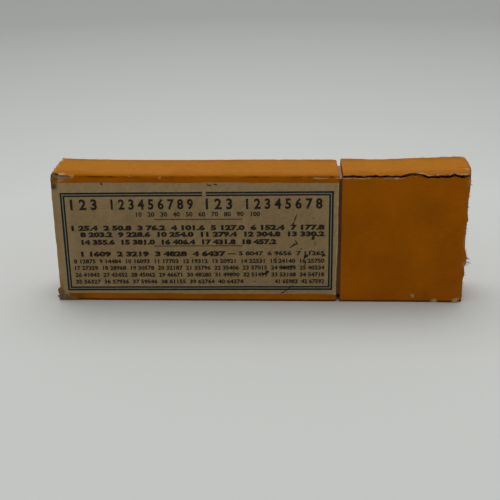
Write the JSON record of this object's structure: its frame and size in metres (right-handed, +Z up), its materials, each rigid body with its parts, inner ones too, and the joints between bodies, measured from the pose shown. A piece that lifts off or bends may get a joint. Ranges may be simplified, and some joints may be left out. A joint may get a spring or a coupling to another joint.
{
  "type": "map measurer",
  "caption": "Hand-held map measurer with a toothed tracing wheel, gear train, dial and turned handle, lying in a paper-covered card box with a pull-off cap.",
  "frame": {"origin": "middle of the closed box's footprint, on the surface that its long narrow edge stands on", "axes": "+X along the box from the body towards the pull-off cap, -Y out of the broad face with the label, +Z up"},
  "size_m": [0.1191, 0.0161, 0.0392],
  "materials": {
    "orange_paper": "matte",
    "greyboard": "matte",
    "neck_board": "matte",
    "label_paper": "matte",
    "nickel_plate": "satin",
    "train_brass": "satin",
    "blued_steel": "polished",
    "bright_steel": "satin",
    "dial_face": "matte",
    "watch_glass": "polished",
    "ebonised_wood": "satin"
  },
  "bodies": {
    "box_body": {"body_board": "greyboard", "body_paper": "orange_paper", "label": "label_paper", "neck": "neck_board"},
    "cap": {"cap_board": "greyboard", "cap_paper": "orange_paper"},
    "instrument": {"case_band": "nickel_plate", "back_cover": "nickel_plate", "bezel": "nickel_plate", "crystal": "watch_glass", "dial": "dial_face", "front_plate": "train_brass", "back_plate": "train_brass", "plate_pillars": "train_brass", "plate_screws": "blued_steel", "tang": "bright_steel", "ferrule": "nickel_plate", "handle_grip": "ebonised_wood", "end_button": "nickel_plate"},
    "tracing_drive": {"tracing_wheel": "train_brass", "tracing_arbor": "bright_steel"},
    "intermediate_drive": {"intermediate_wheel": "train_brass", "intermediate_arbor": "bright_steel"},
    "centre_drive": {"centre_wheel": "train_brass", "centre_arbor": "bright_steel", "needle": "blued_steel"}
  },
  "joints": [
    {"name": "cap_slide", "type": "slide", "parent": "box_body", "child": "cap", "axis": [1, 0, 0], "range_m": [0, 0.145]},
    {"name": "instrument_slide", "type": "slide", "parent": "box_body", "child": "instrument", "axis": [1, 0, 0], "range_m": [0, 0.1015]},
    {"name": "tracing_spin", "type": "hinge", "parent": "instrument", "child": "tracing_drive", "pos_m": [-0.05321, 0, 0.01905], "axis": [0, -1, 0], "continuous": true},
    {"name": "intermediate_spin", "type": "hinge", "parent": "instrument", "child": "intermediate_drive", "pos_m": [-0.04539, 0, 0.01905], "axis": [0, -1, 0], "continuous": true},
    {"name": "needle_spin", "type": "hinge", "parent": "instrument", "child": "centre_drive", "pos_m": [-0.03741, 0, 0.01905], "axis": [0, -1, 0], "continuous": true}
  ],
  "couplings": [
    {"joint": "instrument_slide", "follows": "cap_slide", "ratio": 0.7},
    {"joint": "intermediate_spin", "follows": "tracing_spin", "ratio": -0.15},
    {"joint": "needle_spin", "follows": "tracing_spin", "ratio": 0.025}
  ]
}
